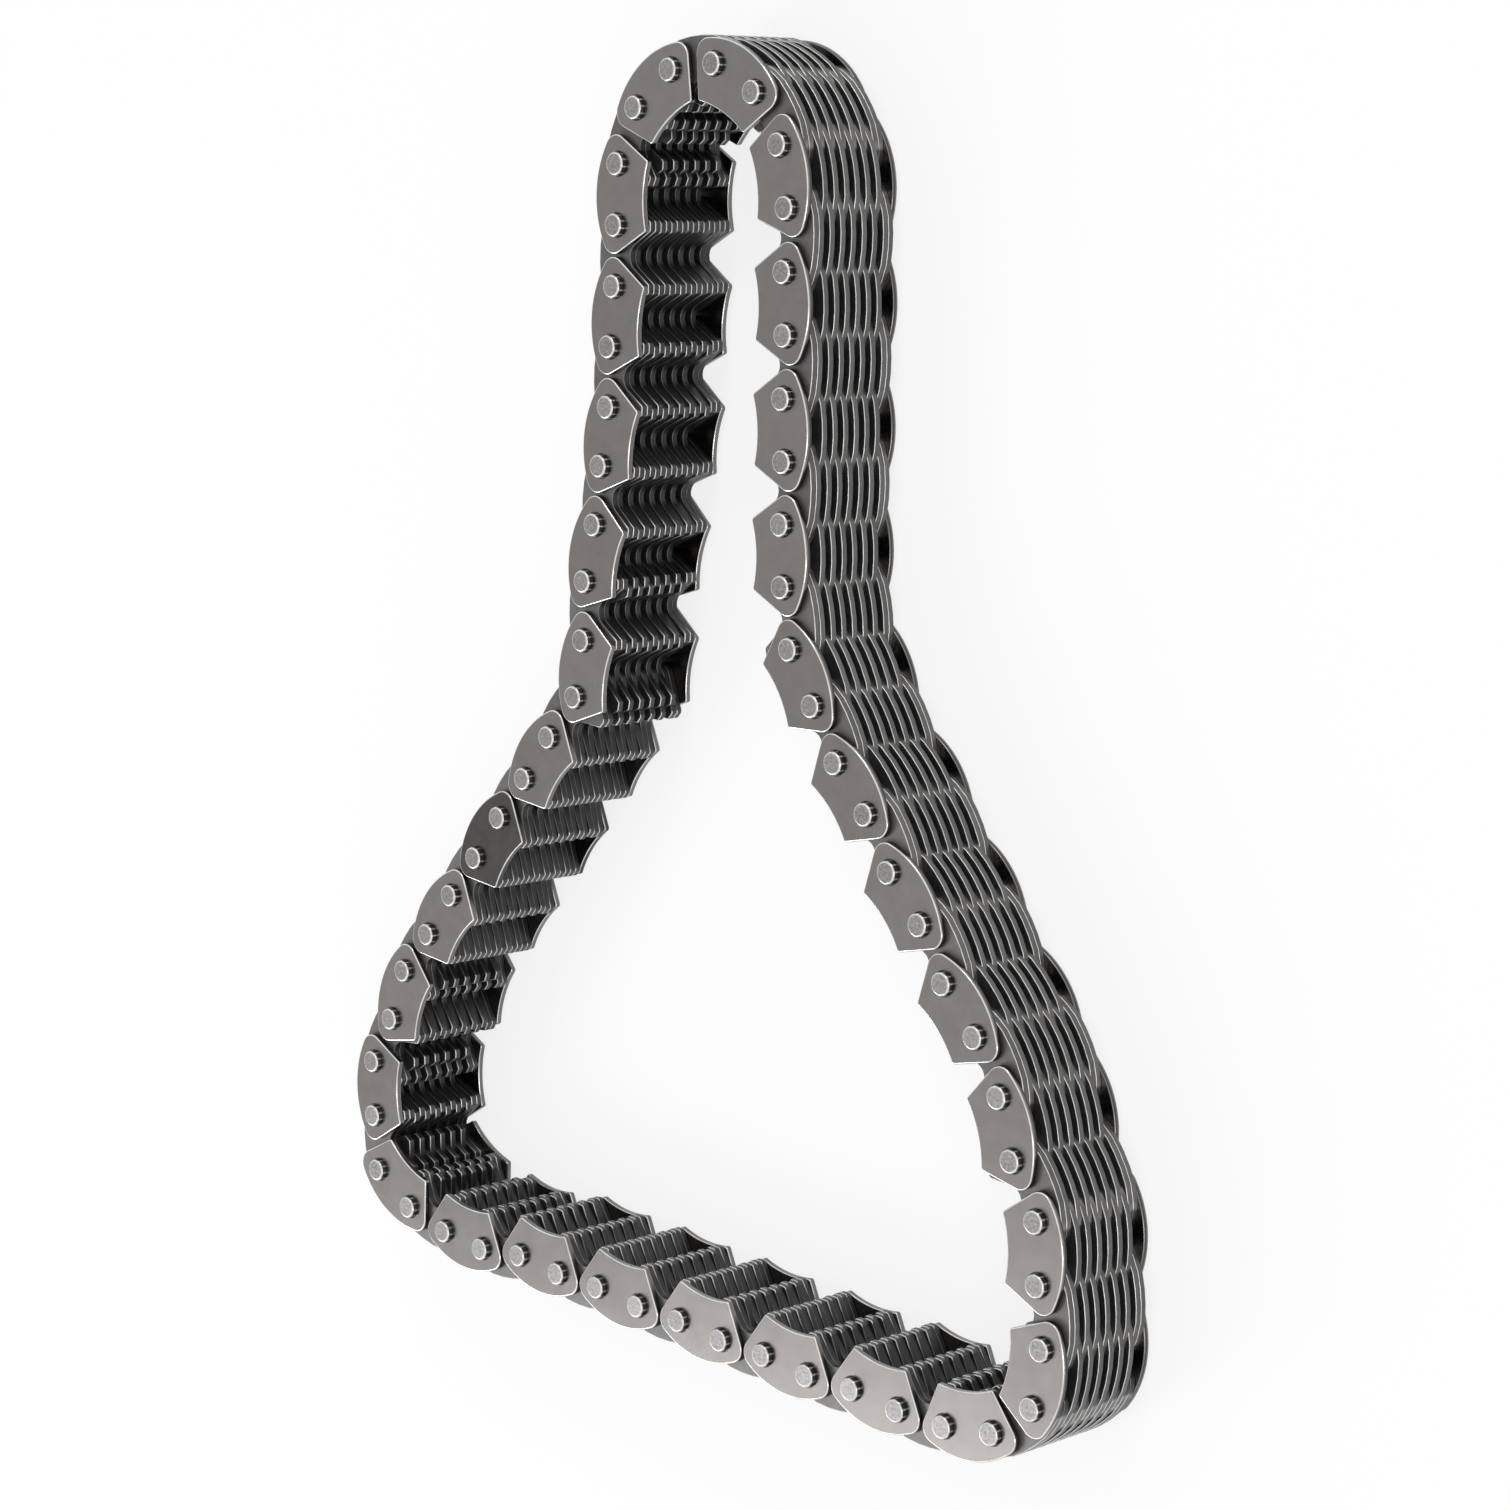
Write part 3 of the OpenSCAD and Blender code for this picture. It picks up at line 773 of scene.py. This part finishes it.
class CHAIN_OT_joint_plates(bpy.types.Operator):
    """Make the toothed link plates of every joint link"""
    bl_idname = "chain.joint_plates"
    bl_label = "Joint link plates"

    def execute(self, context):
        sizes = context.scene.chain_sizes
        finish = context.scene.chain_finish
        spots = pin_places(sizes)
        heights = layer_heights(sizes, "J")
        # oil and painted shade on the faces between the joint link's plates; the outermost faces get less
        sides = np.full((len(heights), 2), finish.inner_oil_shade)
        sides[0, 0] = finish.outer_oil_shade
        sides[-1, 1] = finish.outer_oil_shade
        solid = oil_shaded([plate_solid(sizes, False, sizes.turn_gap, side) for side in sides])
        draws = JOINT_DRAW + PLATE_DRAW_STEP * np.arange(len(heights))
        for k in range(1, PAIRS + 1):
            middle, turn = link_frame(spots, 2 * k)
            shades = tones(finish.plate_spread, k + draws)
            put_piece(f"joint_plates_{k:02d}", solid, turn, stacked(middle, heights), shades,
                      plate_steel(finish), joint_body(k))
        return {"FINISHED"}


class CHAIN_OT_pins(bpy.types.Operator):
    """Make the two pins of every guide link"""
    bl_idname = "chain.pins"
    bl_label = "Pins"

    def execute(self, context):
        sizes = context.scene.chain_sizes
        finish = context.scene.chain_finish
        spots = pin_places(sizes)
        solid = pin_solid(sizes)
        for k in range(1, PAIRS + 1):
            pair = np.column_stack([spots[2 * k - 2:2 * k], np.zeros(2)])
            shades = tones(finish.pin_spread, PIN_DRAW + 2 * k + np.arange(2))
            swing = 2 * math.pi * float(speckle(k))
            turn = np.array(Matrix.Rotation(swing, 3, "Z"))
            put_piece(f"pins_{k:02d}", solid, turn, pair, shades,
                      pin_steel(finish), guide_body(k))
        return {"FINISHED"}


def floor_mesh(reach):
    """Flat square floor: a grid of two parameters, both running from -reach to reach."""
    cells = 4
    marks = np.linspace(-reach, reach, cells + 1)
    across, along = np.meshgrid(marks, marks)
    points = np.stack([across, along, np.full_like(across, -FLOOR_DROP)], axis=-1).reshape(-1, 3)
    row, column = np.meshgrid(np.arange(cells), np.arange(cells), indexing="ij")
    first = row * (cells + 1) + column
    beside = first + cells + 1
    quads = np.stack([first, first + 1, beside + 1, beside], axis=-1).reshape(-1, 4)
    mesh = bpy.data.meshes.new("floor")
    mesh.from_pydata(points.tolist(), [], quads.tolist())
    mesh.validate()
    return mesh


def background_rays(tree):
    """Socket that is 1 for rays that show the background: from the camera, in gloss and through glass."""
    path = node(tree, "ShaderNodeLightPath", (-900, 0)).outputs
    seen = math_node(tree, "MAXIMUM", (-700, 0), path["Is Camera Ray"], path["Is Glossy Ray"])
    return math_node(tree, "MAXIMUM", (-550, 0), seen, path["Is Transmission Ray"])


def floor_paper(stage):
    """White paper floor: it takes the object's shadow, and is lifted towards plain white where it is
    background."""
    material = bpy.data.materials.new("floor_paper")
    material.use_nodes = True
    tree = material.node_tree
    tree.nodes.clear()
    paper = node(tree, "ShaderNodeBsdfPrincipled", (-200, 200),
                 {"Roughness": 0.95, "Specular IOR Level": 0.1})
    paper.inputs["Base Color"].default_value = (*stage.floor_tone, 1.0)
    white = node(tree, "ShaderNodeEmission", (-200, -200), {"Strength": 1.0})
    share_lit = math_node(tree, "MULTIPLY", (-400, 0), background_rays(tree), stage.floor_lift)
    mixed = node(tree, "ShaderNodeMixShader", (100, 0))
    out = node(tree, "ShaderNodeOutputMaterial", (300, 0))
    tree.links.new(share_lit, mixed.inputs[0])
    tree.links.new(paper.outputs[0], mixed.inputs[1])
    tree.links.new(white.outputs[0], mixed.inputs[2])
    tree.links.new(mixed.outputs[0], out.inputs["Surface"])
    return material


def card(name, place, width, height, power):
    """Soft area light that faces the chain's middle, with two of its edges square to the Y axis."""
    lamp = bpy.data.lights.new(name, "AREA")
    lamp.shape = "RECTANGLE"
    lamp.size = width
    lamp.size_y = height
    lamp.energy = power
    holder = bpy.data.objects.new(name, lamp)
    bpy.context.scene.collection.objects.link(holder)
    facing = Vector(place).normalized()
    across = Vector((0.0, 1.0, 0.0)).cross(facing).normalized()
    turn = Matrix((across, facing.cross(across), facing)).transposed().to_4x4()
    holder.matrix_world = Matrix.Translation(place) @ turn


def studio_world(fill):
    """World that is white to the camera, in gloss and through glass, and lights evenly at the fill
    strength."""
    world = bpy.data.worlds.new("studio")
    world.use_nodes = True
    tree = world.node_tree
    tree.nodes.clear()
    strength = math_node(tree, "MAXIMUM", (-200, 0), background_rays(tree), fill)
    back = node(tree, "ShaderNodeBackground", (0, 0), {"Color": (1.0, 1.0, 1.0, 1.0)})
    out = node(tree, "ShaderNodeOutputWorld", (200, 0))
    tree.links.new(strength, back.inputs["Strength"])
    tree.links.new(back.outputs[0], out.inputs["Surface"])
    return world


class CHAIN_OT_stage(bpy.types.Operator):
    """Set the camera, the pale floor and the soft studio light"""
    bl_idname = "chain.stage"
    bl_label = "Studio"

    def execute(self, context):
        stage = context.scene.chain_stage
        scene = context.scene
        camera = bpy.data.objects.new("photo_camera", bpy.data.cameras.new("photo_camera"))
        camera.data.lens = stage.lens
        camera.data.sensor_width = 36.0
        camera.data.clip_start = 0.01
        scene.collection.objects.link(camera)
        gaze = Vector(stage.gaze).normalized()
        right = gaze.cross(Vector(stage.up)).normalized()
        upward = right.cross(gaze)
        turn = Matrix((right, upward, -gaze)).transposed().to_4x4()
        camera.matrix_world = Matrix.Translation(stage.eye) @ turn
        scene.camera = camera

        floor = bpy.data.objects.new("floor", floor_mesh(FLOOR_REACH))
        scene.collection.objects.link(floor)
        floor.data.materials.append(floor_paper(stage))

        scene.world = studio_world(stage.fill)
        for name, (place, width, height, power) in CARDS.items():
            card(name, place, width, height, getattr(stage, power))
        scene.view_settings.view_transform = "Standard"
        return {"FINISHED"}


class CHAIN_PT_sidebar(bpy.types.Panel):
    """Lists the chain's operators and sizes"""
    bl_idname = "CHAIN_PT_sidebar"
    bl_label = "Silent chain"
    bl_space_type = "VIEW_3D"
    bl_region_type = "UI"
    bl_category = "Chain"

    def draw(self, context):
        for operator in OPERATORS:
            self.layout.operator(operator.bl_idname)
        for group in (context.scene.chain_sizes, context.scene.chain_finish, context.scene.chain_stage):
            box = self.layout.box()
            for name in group.__annotations__:
                box.prop(group, name)


OPERATORS = (CHAIN_OT_stage, CHAIN_OT_guide_plates, CHAIN_OT_inner_plates, CHAIN_OT_joint_plates,
             CHAIN_OT_pins)
CLASSES = (ChainSizes, ChainFinish, ChainStage) + OPERATORS + (CHAIN_PT_sidebar,)


def register():
    """Registers the classes and hangs their properties on the scene."""
    for kind in CLASSES:
        bpy.utils.register_class(kind)
    bpy.types.Scene.chain_sizes = PointerProperty(type=ChainSizes, name="Chain sizes")
    bpy.types.Scene.chain_finish = PointerProperty(type=ChainFinish, name="Chain finish")
    bpy.types.Scene.chain_stage = PointerProperty(type=ChainStage, name="Chain stage")


def unregister():
    """Takes the properties and classes away again."""
    del bpy.types.Scene.chain_stage
    del bpy.types.Scene.chain_finish
    del bpy.types.Scene.chain_sizes
    for kind in reversed(CLASSES):
        bpy.utils.unregister_class(kind)


def main():
    """Builds the stage and all pieces."""
    register()
    bpy.ops.chain.stage()
    bpy.ops.chain.guide_plates()
    bpy.ops.chain.inner_plates()
    bpy.ops.chain.joint_plates()
    bpy.ops.chain.pins()


if __name__ == "__main__":
    main()
